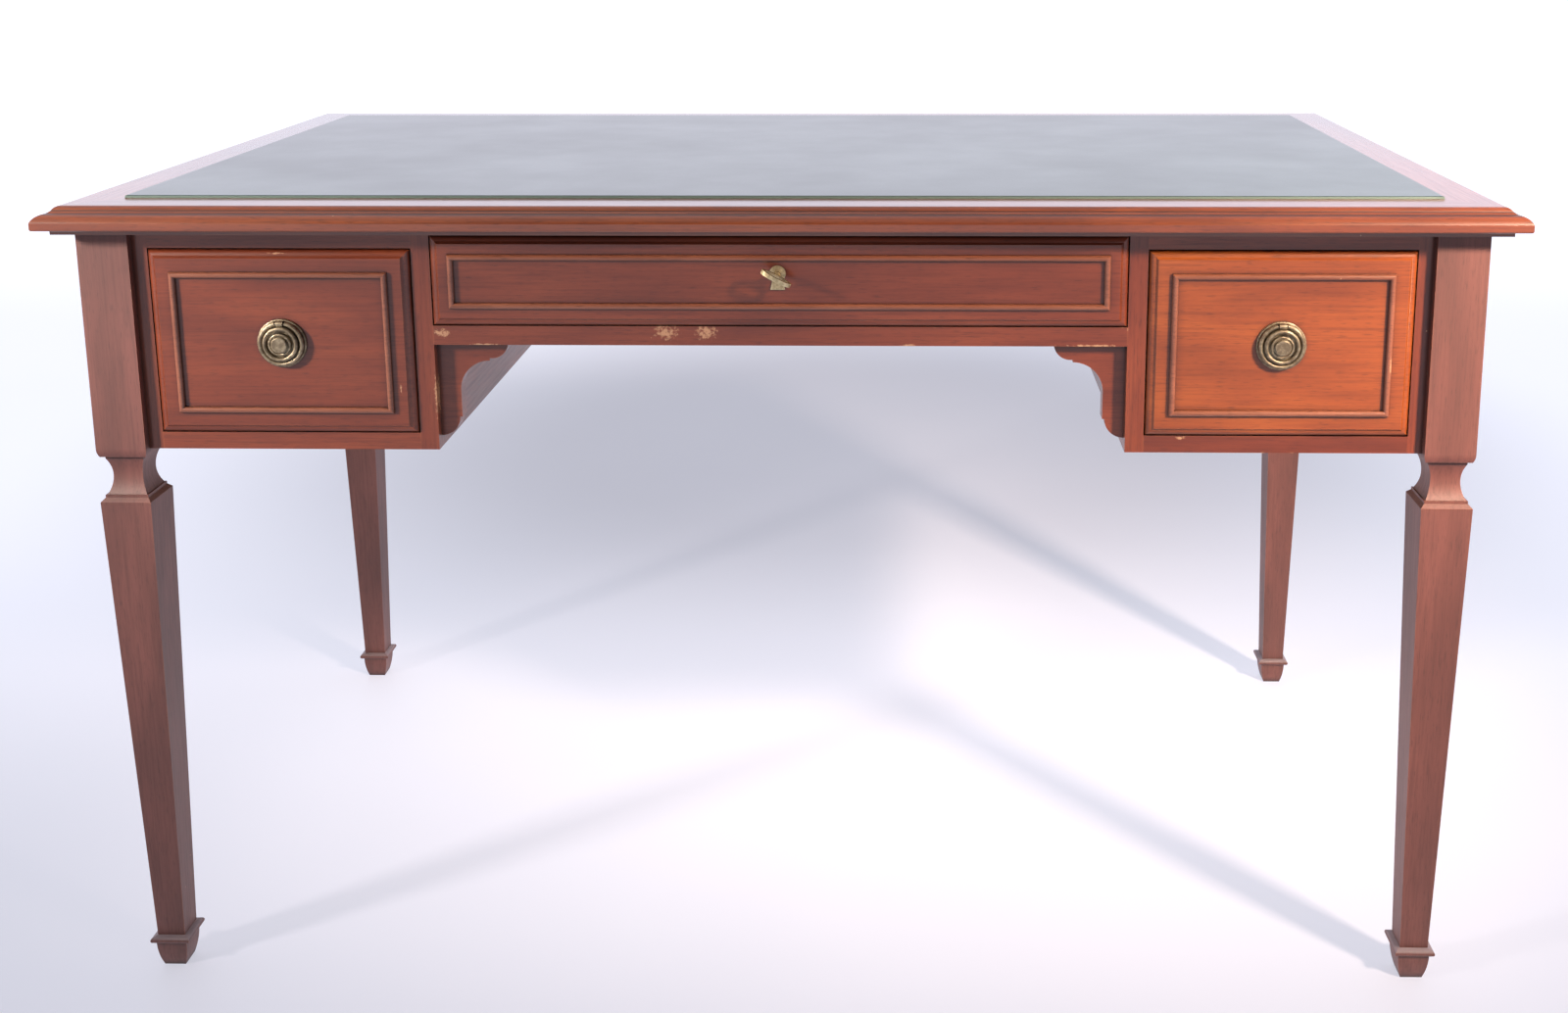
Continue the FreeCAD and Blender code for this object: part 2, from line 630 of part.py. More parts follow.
def pull_rosette():
    """Back plate, dished rose with a bead, cup and boss, and the lug for the ring. Made lying flat."""
    rim = PLATE_RADIUS - PLATE_RIM_WIDE
    bead_in = ROSE_RADIUS - ROSE_BEAD_WIDE
    cup_in = CUP_RADIUS - CUP_WALL
    bead_low = (ROSE_FLOOR + ROSE_BEAD_TOP) / 2
    steps = [
        (PLATE_RADIUS, 0.0),
        (PLATE_RADIUS, PLATE_THICK),
        ((PLATE_RADIUS - PLATE_RIM_WIDE / 2, PLATE_THICK + PLATE_RIM), (rim, PLATE_THICK)),
        (ROSE_RADIUS, PLATE_THICK),
        (ROSE_RADIUS, bead_low),
        (((ROSE_RADIUS + bead_in) / 2, ROSE_BEAD_TOP), (bead_in, bead_low)),
        (bead_in, ROSE_FLOOR),
        (CUP_RADIUS, ROSE_FLOOR),
        (CUP_RADIUS, CUP_TOP - CUP_WALL / 2),
        ((CUP_RADIUS - CUP_WALL / 2, CUP_TOP), (cup_in, CUP_TOP - CUP_WALL / 2)),
        (BOSS_RADIUS, CUP_TOP - CUP_WALL / 2),
        (BOSS_RADIUS, BOSS_TOP - BOSS_BEVEL),
        (BOSS_RADIUS - BOSS_BEVEL, BOSS_TOP),
        (0.0, BOSS_TOP),
    ]
    rose = outline(lambda r, d: V(r, 0, d), (0.0, 0.0), steps).revolve(ORIGIN, Z_AXIS, 360)
    hinge = RING_RADIUS * math.cos(math.radians(RING_GAP_ANGLE))
    lug = rod(LUG_RADIUS, V(-LUG_HALF, hinge, RING_STANDOFF), V(LUG_HALF, hinge, RING_STANDOFF))
    web = box((-LUG_HALF, LUG_HALF), (hinge - LUG_RADIUS, hinge + LUG_RADIUS),
              (PLATE_THICK / 2, RING_STANDOFF))
    bore = rod(RING_PIN + PIN_PLAY, V(-2 * LUG_HALF, hinge, RING_STANDOFF),
               V(2 * LUG_HALF, hinge, RING_STANDOFF))
    seat = rod(PULL_BOLT + PIN_PLAY, V(0, 0, -OVERCUT), V(0, 0, PULL_BOLT_SEAT))
    return rose.fuse([lug, web]).cut([bore, seat]).removeSplitter()


def pull_ring():
    """Round ring, open at the lug, with a pin at each end. Made lying flat."""
    turn = 360.0 - 2 * RING_GAP_ANGLE
    ring = Part.makeTorus(RING_RADIUS, RING_WIRE, V(0, 0, RING_STANDOFF), Z_AXIS, -180, 180, turn)
    ring.rotate(ORIGIN, Z_AXIS, 90.0 + RING_GAP_ANGLE)
    hinge = RING_RADIUS * math.cos(math.radians(RING_GAP_ANGLE))
    end = RING_RADIUS * math.sin(math.radians(RING_GAP_ANGLE))
    pins = [rod(RING_PIN, V(s * RING_PIN_GAP / 2, hinge, RING_STANDOFF),
                V(s * (end + RING_WIRE / 2), hinge, RING_STANDOFF)) for s in (-1, 1)]
    return ring.fuse(pins)


def pull_bolt():
    """Bolt from the rosette through the drawer front, with a hexagon nut inside. Made lying flat."""
    nut_face = -FRONT_THICK
    bolt = rod(PULL_BOLT, V(0, 0, PULL_BOLT_SEAT), V(0, 0, nut_face - 2 * PULL_NUT_THICK))
    corner = PULL_NUT_ACROSS / math.sqrt(3)
    corners = [(corner * math.cos(math.radians(60 * i)), corner * math.sin(math.radians(60 * i)))
               for i in range(6)]
    nut = outline(lambda u, v: V(u, v, nut_face), corners[0], corners[1:])
    nut = nut.extrude(V(0, 0, -PULL_NUT_THICK))
    thread = rod(PULL_BOLT + PIN_PLAY, V(0, 0, nut_face + OVERCUT), V(0, 0, nut_face - 2 * PULL_NUT_THICK))
    nut = nut.cut(thread)
    return Part.makeCompound([bolt, nut])


def keyhole(radius, low, high, drop):
    """Cutter for a round hole with a slot below it, between two places along Y."""
    hole = rod(radius, V(0, low, KEY_Z), V(0, high, KEY_Z))
    slot = box((-KEYHOLE_SLOT_HALF, KEYHOLE_SLOT_HALF), (low, high), (KEY_Z - drop, KEY_Z))
    return hole.fuse(slot)


def escutcheon():
    """Keyhole-shaped plate on the face of the centre drawer."""
    y = FRONT_FACE - ESCUTCHEON_THICK
    drop = math.sqrt(ESCUTCHEON_RADIUS ** 2 - ESCUTCHEON_WAIST ** 2)
    waist = (-ESCUTCHEON_WAIST, KEY_Z - drop)
    steps = [
        ((0.0, KEY_Z + ESCUTCHEON_RADIUS), (ESCUTCHEON_WAIST, KEY_Z - drop)),
        (ESCUTCHEON_FOOT_HALF, KEY_Z - ESCUTCHEON_FOOT_DROP),
        (-ESCUTCHEON_FOOT_HALF, KEY_Z - ESCUTCHEON_FOOT_DROP),
    ]
    plate = outline(lambda x, z: V(x, y, z), waist, steps).extrude(V(0, ESCUTCHEON_THICK, 0))
    reach = KEY_BIT_REACH + BIT_ROOM_PLAY
    return plate.cut(keyhole(KEY_SHANK + KEY_PLAY, y - OVERCUT, FRONT_FACE + OVERCUT, reach))


def lock_case():
    """Lock let into the back of the centre drawer's front, flush with its top edge."""
    case, bit, bolt = lock_layers()
    z = (KEY_Z - LOCK_BELOW_KEY, UNDER - CENTRE_TOP_GAP)
    shell = box((-LOCK_WIDE / 2, LOCK_WIDE / 2), case, z)
    room = rod(KEY_BIT_REACH + BIT_ROOM_PLAY, V(0, bit[0], KEY_Z), V(0, bit[1], KEY_Z))
    lowest = bolt_span(0.0)[0] - BOLT_PLAY
    track = box((-BOLT_WIDE / 2 - BOLT_PLAY, BOLT_WIDE / 2 + BOLT_PLAY), bolt, (lowest, z[1] + OVERCUT))
    mouth = keyhole(KEY_SHANK + KEY_PLAY, case[0] - OVERCUT, bit[0], KEY_BIT_REACH + BIT_ROOM_PLAY)
    return shell, shell.cut([room, track, mouth])


def lock_bolt():
    """Bolt of the lock at the height that the turned key gives it."""
    bolt = lock_layers()[2]
    play = (bolt[1] - bolt[0] - BOLT_THICK) / 2
    z = bolt_span(BOLT_THROW * KEY_TURN / FULL_TURN)
    return box((-BOLT_WIDE / 2, BOLT_WIDE / 2), (bolt[0] + play, bolt[1] - play), z)


def key():
    """Key in the lock: shank, bit, collar and an open oval bow. Made with the bit down, then turned."""
    bit = lock_layers()[1]
    bit_y = (bit[0] + BOLT_PLAY, bit[1] - BOLT_PLAY)
    bow_y = FRONT_FACE - KEY_STANDOUT
    shank = rod(KEY_SHANK, V(0, bit_y[1], 0), V(0, bow_y - BOW_WALL / 2, 0))
    flag = box((-KEY_BIT_THICK / 2, KEY_BIT_THICK / 2), bit_y, (-KEY_BIT_REACH, 0.0))
    collar = rod(KEY_COLLAR, V(0, bow_y + KEY_COLLAR_LONG, 0), V(0, bow_y, 0))

    def oval(wall):
        rim = Part.Ellipse(ORIGIN, BOW_HALF - wall, BOW_LONG / 2 - wall).toShape()
        plate = Part.Face(Part.Wire([rim])).extrude(V(0, 0, BOW_THICK))
        plate.translate(V(0, 0, -BOW_THICK / 2))
        plate.rotate(ORIGIN, Y_AXIS, 90)
        plate.translate(V(0, bow_y - BOW_LONG / 2, 0))
        return plate

    bow = oval(0.0).cut(oval(BOW_WALL))
    piece = shank.fuse([flag, collar, bow])
    piece.rotate(ORIGIN, Y_AXIS, -KEY_TURN)
    piece.translate(V(0, 0, KEY_Z))
    return piece


def write(pieces):
    os.makedirs("parts", exist_ok=True)
    for name, shape in pieces.items():
        shape.exportStep("parts/" + name + ".step")


def main():
    pieces = top_pieces()
    pieces.update(aprons())
    joined = [pieces[name] for name in ("left_side_apron", "right_side_apron", "back_apron")]
    axis_x = POST_OUT - POST / 2
    axis_y = -POST_FRONT - POST / 2
    legs = []
    for end, y in (("front", -axis_y), ("back", axis_y)):
        for side, x in (("left", -axis_x), ("right", axis_x)):
            upright, block = leg(), foot()
            upright.translate(V(x, y, 0))
            block.translate(V(x, y, 0))
            legs.append(upright.cut(joined))
            pieces["leg_" + end + "_" + side] = legs[-1]
            pieces["foot_" + end + "_" + side] = block
    pieces.update(face_frame())
    pieces.update(slides(legs))
    pieces.update(corner_blocks())

    pull_x = (OPEN_OUT + OPEN_IN) / 2
    pull_z = (SIDE_SILL + SIDE_HEAD) / 2
    for name, sign in (("left", -1), ("right", 1)):
        opening = (-OPEN_OUT, -OPEN_IN) if sign < 0 else (OPEN_IN, OPEN_OUT)
        place = (sign * pull_x, FRONT_FACE, pull_z)
        hole = rod(PULL_BOLT + PULL_BOLT_PLAY, V(place[0], FRONT_FACE - OVERCUT, pull_z),
                   V(place[0], FRONT_BACK + OVERCUT, pull_z))
        pieces.update(drawer(name, opening, SIDE_SILL, SIDE_HEAD, SIDE_BEAD_MARGIN, [hole]))
        pieces[name + "_pull_rosette"] = facing_front(pull_rosette(), *place)
        pieces[name + "_pull_ring"] = facing_front(pull_ring(), *place)
        pieces[name + "_pull_bolt"] = facing_front(pull_bolt(), *place)

    mortise, case = lock_case()
    hole = keyhole(KEY_SHANK + KEYHOLE_PLAY, FRONT_FACE - OVERCUT, FRONT_BACK, KEY_BIT_REACH + BIT_ROOM_PLAY)
    pieces.update(drawer("centre", (-KNEE_HALF, KNEE_HALF), CENTRE_SILL, CENTRE_HEAD, CENTRE_BEAD_MARGIN,
                         [mortise, hole]))
    pieces["centre_lock_case"] = case
    pieces["centre_lock_bolt"] = lock_bolt()
    pieces["centre_escutcheon"] = escutcheon()
    pieces["centre_key"] = key()
    write(pieces)


main()
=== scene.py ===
import math

import bmesh
import bpy
from mathutils import Matrix, Vector


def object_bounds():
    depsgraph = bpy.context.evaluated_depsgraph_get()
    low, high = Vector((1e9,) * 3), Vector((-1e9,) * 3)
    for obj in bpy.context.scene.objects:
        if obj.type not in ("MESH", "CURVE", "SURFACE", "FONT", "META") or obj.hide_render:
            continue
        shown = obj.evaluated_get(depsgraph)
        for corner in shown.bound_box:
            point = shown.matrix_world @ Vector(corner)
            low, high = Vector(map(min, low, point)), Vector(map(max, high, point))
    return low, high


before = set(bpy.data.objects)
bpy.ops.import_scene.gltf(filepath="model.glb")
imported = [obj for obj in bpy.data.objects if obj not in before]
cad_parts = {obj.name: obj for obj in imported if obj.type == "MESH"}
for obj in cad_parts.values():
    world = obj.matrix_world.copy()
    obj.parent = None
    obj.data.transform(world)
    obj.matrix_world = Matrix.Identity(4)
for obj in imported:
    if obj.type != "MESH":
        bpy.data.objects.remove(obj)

CAD_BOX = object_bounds()
MM = 0.001

# ---------------------------------------------------------------- camera
# The photograph is 1600 by 1034 pixels. The camera stands in front of the knee-hole, a little to the
# right, above the height of the top, and its frame is shifted down and to the left.
PHOTO_WIDTH, PHOTO_HEIGHT = 1600.0, 1034.0
SENSOR_WIDTH = 36.0
EYE = Vector((0.1182, -1.7967, 1.0302))
EYE_YAW, EYE_PITCH, EYE_ROLL = -0.0216, -0.1937, -0.0027
FOCAL_PIXELS = 1683.3
CENTRE_PIXEL = (891.2, 242.7)


def place_camera():
    """The camera, from the place, turn and focal length that put the desk's corners where the photo has them."""
    ahead = Vector((math.sin(EYE_YAW) * math.cos(EYE_PITCH), math.cos(EYE_YAW) * math.cos(EYE_PITCH),
                    math.sin(EYE_PITCH)))
    level = Vector((math.cos(EYE_YAW), -math.sin(EYE_YAW), 0.0))
    upward = level.cross(ahead)
    right = math.cos(EYE_ROLL) * level + math.sin(EYE_ROLL) * upward
    up = math.cos(EYE_ROLL) * upward - math.sin(EYE_ROLL) * level
    turn = Matrix((right, up, -ahead)).transposed()
    lens = bpy.data.cameras.new("camera")
    lens.sensor_width = SENSOR_WIDTH
    lens.lens = FOCAL_PIXELS / PHOTO_WIDTH * SENSOR_WIDTH
    lens.shift_x = (PHOTO_WIDTH / 2 - CENTRE_PIXEL[0]) / PHOTO_WIDTH
    lens.shift_y = (CENTRE_PIXEL[1] - PHOTO_HEIGHT / 2) / PHOTO_WIDTH
    camera = bpy.data.objects.new("camera", lens)
    camera.matrix_world = Matrix.Translation(EYE) @ turn.to_4x4()
    bpy.context.scene.collection.objects.link(camera)
    bpy.context.scene.camera = camera


# ---------------------------------------------------------------- helpers
def colour(code):
    """An sRGB hex code as a linear colour."""
    shares = [int(code[i:i + 2], 16) / 255.0 for i in (1, 3, 5)]
    linear = [s / 12.92 if s <= 0.04045 else ((s + 0.055) / 1.055) ** 2.4 for s in shares]
    return (*linear, 1.0)


def add(tree, kind, inputs=None, ramp=None, **settings):
    """One node with its settings. An input that is another node's socket is linked; any other is a value."""
    made = tree.nodes.new(kind)
    for name, value in settings.items():
        setattr(made, name, value)
    for name, value in (inputs or {}).items():
        if isinstance(value, bpy.types.NodeSocket):
            tree.links.new(value, made.inputs[name])
        else:
            made.inputs[name].default_value = value
    if ramp:
        points = made.color_ramp.elements
        while len(points) < len(ramp):
            points.new(1.0)
        for point, (place, shade) in zip(points, ramp):
            point.position = place
            point.color = shade
    return made


# A colour mix keeps its two colours in inputs 6 and 7 and gives its result at output 2.
MIX_FIRST, MIX_SECOND, MIX_RESULT = 6, 7, 2


def new_material(name):
    """An empty material with its surface shader, and the tree that they are in."""
    made = bpy.data.materials.new(name)
    made.use_nodes = True
    tree = made.node_tree
    tree.nodes.clear()
    surface = add(tree, "ShaderNodeBsdfPrincipled")
    add(tree, "ShaderNodeOutputMaterial", {"Surface": surface.outputs["BSDF"]})
    return made, tree, surface


def stretched(tree, along, width, length):
    """The piece's own coordinates, so that one unit is `width` across the grain and `length` along it."""
    place = add(tree, "ShaderNodeTexCoord")
    scale = [1.0 / width] * 3
    scale["xyz".index(along)] = 1.0 / length
    return add(tree, "ShaderNodeMapping", {"Vector": place.outputs["Object"], "Scale": scale}).outputs[0]


def corners_of(tree, radius, flat, sharp):
    """1 on corners and 0 on flats: there a normal rounded over `radius` differs from the real one."""
    rounded = add(tree, "ShaderNodeBevel", {"Radius": radius}, samples=4)
    true = add(tree, "ShaderNodeNewGeometry")
    same = add(tree, "ShaderNodeVectorMath", {0: rounded.outputs[0], 1: true.outputs["Normal"]},
               operation="DOT_PRODUCT")
    return add(tree, "ShaderNodeMapRange", {"Value": same.outputs["Value"], "From Min": flat,
                                            "From Max": sharp}).outputs[0]


# ---------------------------------------------------------------- mahogany
# Mahogany, sawn and planed, stained red-brown and French polished. The eye sees a slow drift between
# brown and orange along each board, fine darker growth lines, short dark pores that follow the grain, and
# a satin shine. Corners that hands and shoes have rubbed are lighter, and pale bare wood shows in chips.
# Each board has its own tone: dark, middle and light.
FRAME_TONE = ("#57210f", "#773319", "#8c4222")
TOP_TONE = ("#602911", "#823d1b", "#9a4e25")
LEG_TONE = ("#512820", "#6b392f", "#7c453b")
# The right drawer's board is more orange and lighter than the frame; part of that lightness is painted light,
# standing for the strong warm lamp on that side.
RIGHT_DRAWER_TONE = ("#6a2d0f", "#8f4417", "#a5551e")
BEAD_TONE = ("#6c3a27", "#895039", "#9c6147")
PORE_DARK = "#34140a"
# Dark brown of the painted shade in the hollows and the quirks, which stands also for old wax.
WAX_AND_SHADE_DARK = "#24100b"
RUBBED_WOOD = "#b56a3c"
BARE_WOOD = "#d3a57c"
# Lavender grey of dust, and of a painted pale sheen of the room, on faces that look up.
DUST_AND_PAINTED_SHEEN = "#9b8f97"
DRIFT_WIDTH, DRIFT_LENGTH = 38 * MM, 190 * MM
GROWTH_WIDTH, GROWTH_LENGTH = 2.4 * MM, 80 * MM
# Real pores are 0.2 mm wide; these are drawn 0.9 mm wide so that the render shows them.
PORE_WIDTH, PORE_LENGTH = 0.9 * MM, 12 * MM
WEAR_RADIUS = 1.6 * MM
# How far ambient occlusion reaches to find the hollows that get painted shade.
HOLLOW_SHADE_REACH = 7 * MM
# The heights of the two quirks in the moulding round the top, and half the width and the strength of the
# line of painted shade in them, which stands also for old wax.
QUIRKS = (771.3 * MM, 769.0 * MM)
QUIRK_HALF, QUIRK_SHADE = 0.6 * MM, 0.65
RUB_SPACING = 60 * MM
CHIP_SPACING = 17 * MM
SPECK_SPACING, SPECK_SHARE = 42 * MM, 0.020
# A pattern this coarse and this strong makes the edge of a mark ragged, between its outside and inside.
MARK_ROUGHNESS, MARK_RAGGED = 3.0 * MM, 3.4
MARK_OUT, MARK_IN = 2.5, 2.0
# Where each pattern begins and ends, and how much of its colour shows at most.
DRIFT_STEPS = (0.18, 0.50, 0.82)
GROWTH_RANGE, GROWTH_MOST = (0.45, 0.70), 0.55
PORE_RANGE, PORE_MOST = (0.58, 0.72), 0.42
# How ambient occlusion maps to the painted shade in the hollows, which stands also for old wax.
HOLLOW_SHADE_RANGE, HOLLOW_SHADE_MOST = (0.92, 0.45), 0.8
CORNER_RANGE = (0.995, 0.90)
RUB_RANGE, RUB_MOST = (0.42, 0.62), 0.28
CHIP_RANGE, CHIP_MOST = (0.66, 0.72), 0.8
SPECK_MOST, MARK_MOST = 0.55, 0.6
# Which upward faces take the dust and the painted sheen.
DUST_AND_PAINTED_SHEEN_RANGE = (0.2, 0.9)
SHEEN_RANGE = (0.3, 0.7)
BARE_DULLER = 0.3
GRAIN_RELIEF, GRAIN_DEPTH = 0.08, 0.3 * MM
MAHOGANY_IOR = 1.5
# Roughness of the wood, from smooth to coarse grain, and of the polish on it. The legs are rubbed dull: a
# polished hollow neck would mirror a lamp as a white band, as if the leg were cut through there.
SATIN, DULL = (0.34, 0.44, 0.13), (0.54, 0.64, 0.6)


def mahogany(name, along, tone, marks=(), quirks=(), polish=0.5, dust_and_painted_sheen=0.0, sheen=SATIN):
    """Mahogany with its grain along one axis. `marks` are chips on a front: x, z and half sizes. `quirks` are
    heights of thin lines of painted shade that stand also for old wax, and `dust_and_painted_sheen` is how much
    dust and painted pale sheen lies on what faces up."""
    made, tree, surface = new_material("polished_mahogany_" + name)
    place = add(tree, "ShaderNodeTexCoord").outputs["Object"]
    drift = add(tree, "ShaderNodeTexNoise", {"Vector": stretched(tree, along, DRIFT_WIDTH, DRIFT_LENGTH),
                                             "Scale": 1.0, "Detail": 4.0, "Distortion": 0.5})
    growth = add(tree, "ShaderNodeTexNoise", {"Vector": stretched(tree, along, GROWTH_WIDTH, GROWTH_LENGTH),
                                              "Scale": 1.0, "Detail": 3.0, "Roughness": 0.55,
                                              "Distortion": 0.4})
    pores = add(tree, "ShaderNodeTexNoise", {"Vector": stretched(tree, along, PORE_WIDTH, PORE_LENGTH),
                                             "Scale": 1.0, "Detail": 1.0})
    body = add(tree, "ShaderNodeValToRGB", {"Fac": drift.outputs["Fac"]},
               ramp=[(step, colour(code)) for step, code in zip(DRIFT_STEPS, tone)])
    line = add(tree, "ShaderNodeMapRange", {"Value": growth.outputs["Fac"], "From Min": GROWTH_RANGE[0],
                                            "From Max": GROWTH_RANGE[1], "To Max": GROWTH_MOST})
    lined = add(tree, "ShaderNodeMix", {0: line.outputs[0], MIX_FIRST: body.outputs["Color"],
                                        MIX_SECOND: colour(tone[0])}, data_type="RGBA")
    pore = add(tree, "ShaderNodeMapRange", {"Value": pores.outputs["Fac"], "From Min": PORE_RANGE[0],
                                            "From Max": PORE_RANGE[1], "To Max": PORE_MOST})
    pored = add(tree, "ShaderNodeMix", {0: pore.outputs[0], MIX_FIRST: lined.outputs[MIX_RESULT],
                                        MIX_SECOND: colour(PORE_DARK)}, data_type="RGBA")

    # Painted shade: the hollows that ambient occlusion finds, and thin lines at the heights of the quirks, are
    # darkened towards a dark brown that stands for their shade and also for old wax.
    open_air = add(tree, "ShaderNodeAmbientOcclusion", {"Distance": HOLLOW_SHADE_REACH}, samples=6)
    hollow_shade = add(tree, "ShaderNodeMapRange", {"Value": open_air.outputs["AO"], "From Min": HOLLOW_SHADE_RANGE[0],
                                              "From Max": HOLLOW_SHADE_RANGE[1], "To Max": HOLLOW_SHADE_MOST})
    hollow_shade = hollow_shade.outputs[0]
    height = add(tree, "ShaderNodeSeparateXYZ", {0: place}).outputs["Z"]
    for quirk in quirks:
        near = add(tree, "ShaderNodeMath", {0: height, 1: quirk, 2: QUIRK_HALF}, operation="COMPARE")
        near = add(tree, "ShaderNodeMath", {0: near.outputs[0], 1: QUIRK_SHADE}, operation="MULTIPLY")
        hollow_shade = add(tree, "ShaderNodeMath", {0: hollow_shade, 1: near.outputs[0]}, operation="MAXIMUM").outputs[0]
    wax_and_shade = add(tree, "ShaderNodeMix", {0: hollow_shade, MIX_FIRST: pored.outputs[MIX_RESULT],
                                        MIX_SECOND: colour(WAX_AND_SHADE_DARK)}, data_type="RGBA")

    # Rubbed corners are lighter here and there, and a few of them are chipped to the bare wood.
    edge = corners_of(tree, WEAR_RADIUS, *CORNER_RANGE)
    edge = add(tree, "ShaderNodeMath", {0: edge, 1: open_air.outputs["AO"]}, operation="MULTIPLY").outputs[0]
    rubs = add(tree, "ShaderNodeTexNoise", {"Vector": place, "Scale": 1.0 / RUB_SPACING, "Detail": 4.0})
    rub = add(tree, "ShaderNodeMapRange", {"Value": rubs.outputs["Fac"], "From Min": RUB_RANGE[0],
                                           "From Max": RUB_RANGE[1], "To Max": RUB_MOST})
    rubbed_edge = add(tree, "ShaderNodeMath", {0: edge, 1: rub.outputs[0]}, operation="MULTIPLY")
    rubbed = add(tree, "ShaderNodeMix", {0: rubbed_edge.outputs[0], MIX_FIRST: wax_and_shade.outputs[MIX_RESULT],
                                         MIX_SECOND: colour(RUBBED_WOOD)}, data_type="RGBA")
    chips = add(tree, "ShaderNodeTexNoise", {"Vector": place, "Scale": 1.0 / CHIP_SPACING, "Detail": 5.0,
                                             "Roughness": 0.7})
    chip = add(tree, "ShaderNodeMapRange", {"Value": chips.outputs["Fac"], "From Min": CHIP_RANGE[0],
                                            "From Max": CHIP_RANGE[1], "To Max": CHIP_MOST})
    bare = add(tree, "ShaderNodeMath", {0: edge, 1: chip.outputs[0]}, operation="MULTIPLY").outputs[0]
    specks = add(tree, "ShaderNodeTexVoronoi", {"Vector": place, "Scale": 1.0 / SPECK_SPACING})
    speck = add(tree, "ShaderNodeMapRange", {"Value": specks.outputs["Distance"], "From Min": SPECK_SHARE,
                                             "From Max": 0.5 * SPECK_SHARE, "To Max": SPECK_MOST})
    bare = add(tree, "ShaderNodeMath", {0: bare, 1: speck.outputs[0]}, operation="MAXIMUM").outputs[0]
    ragged = add(tree, "ShaderNodeTexNoise", {"Vector": place, "Scale": 1.0 / MARK_ROUGHNESS, "Detail": 4.0,
                                              "Roughness": 0.7})
    for x, z, half_x, half_z in marks:
        away = add(tree, "ShaderNodeVectorMath", {0: place, 1: (x, 0.0, z)}, operation="SUBTRACT")
        share = add(tree, "ShaderNodeVectorMath", {0: away.outputs[0], 1: (1.0 / half_x, 0.0, 1.0 / half_z)},
                    operation="MULTIPLY")
        reach = add(tree, "ShaderNodeVectorMath", {0: share.outputs[0]}, operation="LENGTH")
        reach = add(tree, "ShaderNodeMath", {0: ragged.outputs["Fac"], 1: MARK_RAGGED,
                                              2: reach.outputs["Value"]}, operation="MULTIPLY_ADD")
        mark = add(tree, "ShaderNodeMapRange", {"Value": reach.outputs[0], "From Min": MARK_OUT,
                                                "From Max": MARK_IN, "To Max": MARK_MOST})
        bare = add(tree, "ShaderNodeMath", {0: bare, 1: mark.outputs[0]}, operation="MAXIMUM").outputs[0]
    final = add(tree, "ShaderNodeMix", {0: bare, MIX_FIRST: rubbed.outputs[MIX_RESULT],
                                        MIX_SECOND: colour(BARE_WOOD)}, data_type="RGBA")
    if dust_and_painted_sheen:
        # Dust, and a painted pale sheen of the room, lie on what faces up: those faces are mixed towards
        # lavender grey.
        facing = add(tree, "ShaderNodeSeparateXYZ",
                     {0: add(tree, "ShaderNodeNewGeometry").outputs["Normal"]})
        lies = add(tree, "ShaderNodeMapRange", {"Value": facing.outputs["Z"], "From Min": DUST_AND_PAINTED_SHEEN_RANGE[0],
                                                "From Max": DUST_AND_PAINTED_SHEEN_RANGE[1], "To Max": dust_and_painted_sheen})
        final = add(tree, "ShaderNodeMix", {0: lies.outputs[0], MIX_FIRST: final.outputs[MIX_RESULT],
                                            MIX_SECOND: colour(DUST_AND_PAINTED_SHEEN)}, data_type="RGBA")

    shine = add(tree, "ShaderNodeMapRange", {"Value": growth.outputs["Fac"], "From Min": SHEEN_RANGE[0],
                                             "From Max": SHEEN_RANGE[1], "To Min": sheen[0],
                                             "To Max": sheen[1]})
    dull = add(tree, "ShaderNodeMath", {0: bare, 1: BARE_DULLER, 2: shine.outputs[0]},
               operation="MULTIPLY_ADD")
    depth = add(tree, "ShaderNodeMath", {0: pore.outputs[0], 1: -1.0, 2: growth.outputs["Fac"]},
                operation="MULTIPLY_ADD")
    relief = add(tree, "ShaderNodeBump", {"Strength": GRAIN_RELIEF, "Distance": GRAIN_DEPTH,
                                          "Height": depth.outputs[0]})
    tree.links.new(final.outputs[MIX_RESULT], surface.inputs["Base Color"])
    tree.links.new(dull.outputs[0], surface.inputs["Roughness"])
    tree.links.new(relief.outputs[0], surface.inputs["Normal"])
    surface.inputs["IOR"].default_value = MAHOGANY_IOR
    surface.inputs["Coat Weight"].default_value = polish
    surface.inputs["Coat Roughness"].default_value = sheen[2]
    return made


# ---------------------------------------------------------------- plain woods
# Beech and oak inside the desk, planed and left bare: pale, dull, with fine straight grain. Widths and
# lengths are those of the grain and of its flecks, and each wood is given as light and dark.
OAK = ("#c3a67d", "#9c7d56")
BEECH = ("#b98a5a", "#94683e")
BARE_GRAIN, BARE_FLECK = (4 * MM, 140 * MM), (1.2 * MM, 10 * MM)
BARE_STEPS = (0.22, 0.78)
FLECK_RANGE, FLECK_MOST = (0.6, 0.75), 0.4
BARE_RELIEF, BARE_DEPTH = 0.2, 0.3 * MM
BARE_ROUGHNESS = (0.55, 0.75)


